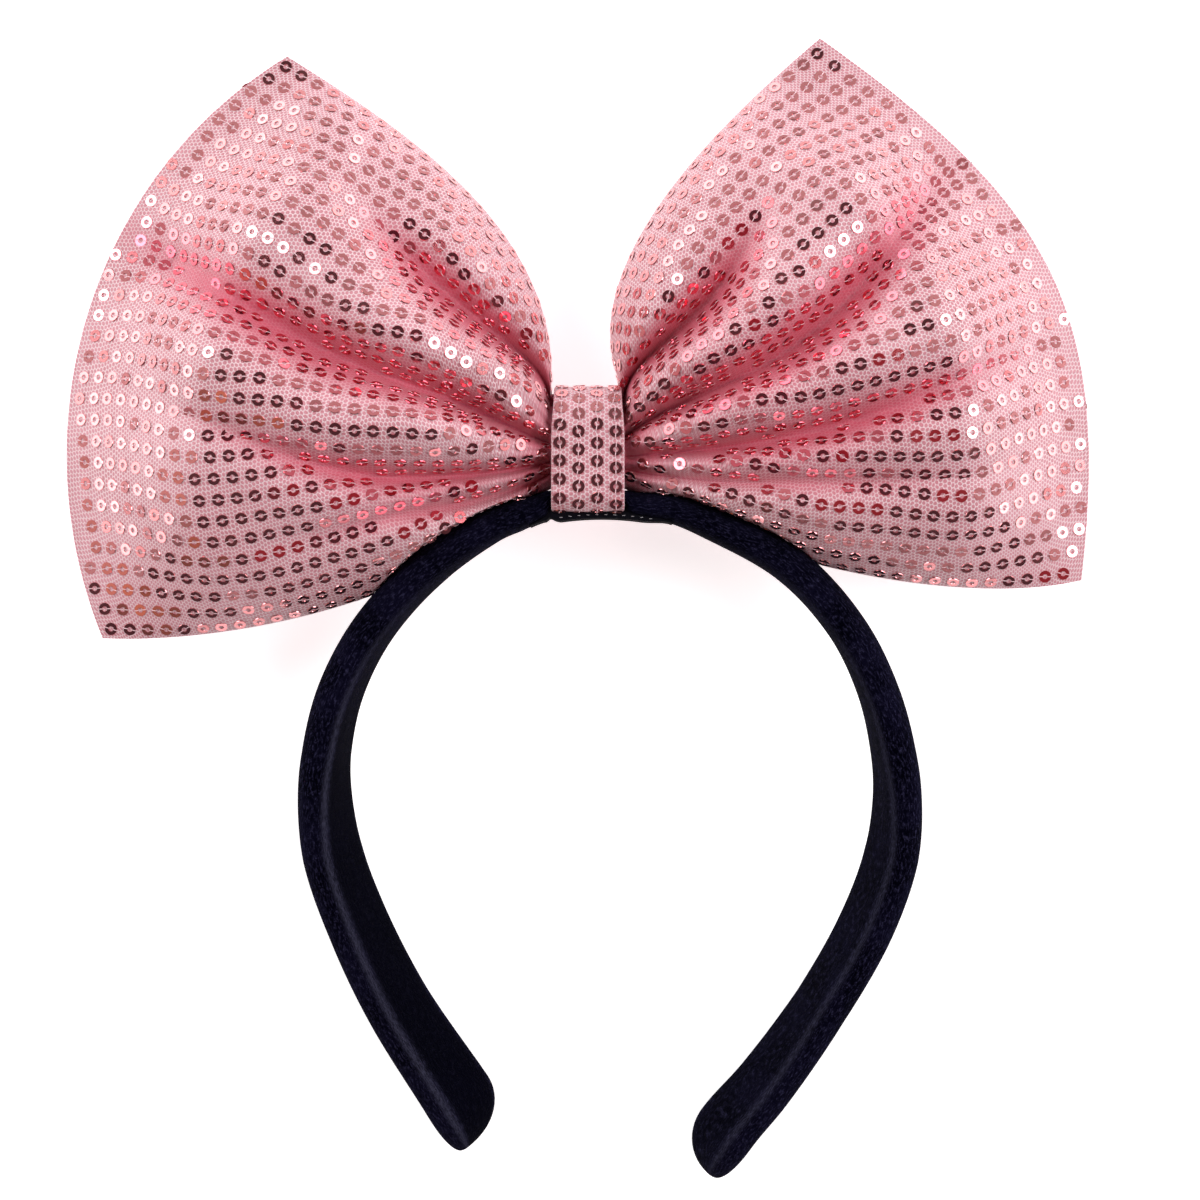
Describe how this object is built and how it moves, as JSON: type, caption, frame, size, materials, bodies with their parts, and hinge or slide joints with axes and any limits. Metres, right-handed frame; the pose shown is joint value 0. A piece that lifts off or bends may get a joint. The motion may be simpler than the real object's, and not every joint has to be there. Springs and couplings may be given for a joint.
{
  "type": "sequin bow headband",
  "caption": "U-shaped velvet headband with rounded tips and a large puffed sequinned bow tied across its crown, lying on its back.",
  "frame": {"origin": "bottom centre of the object's box, as it lies on its back", "axes": "+Y from the headband's tips up to the bow's top, +X towards the bow's right lobe as seen from its front, +Z out of the bow's front"},
  "size_m": [0.2308, 0.2604, 0.0519],
  "materials": {
    "sequin_satin": "pink satin under a fine net, sewn with rows of 3 mm ring sequins",
    "velvet": "near-black navy velvet with a soft sheen",
    "ribbon": "black woven ribbon"
  },
  "bodies": {
    "root": {"bow": "sequin_satin", "knot_wrap": "sequin_satin", "headband": "velvet", "lining_strip": "ribbon"}
  },
  "joints": []
}
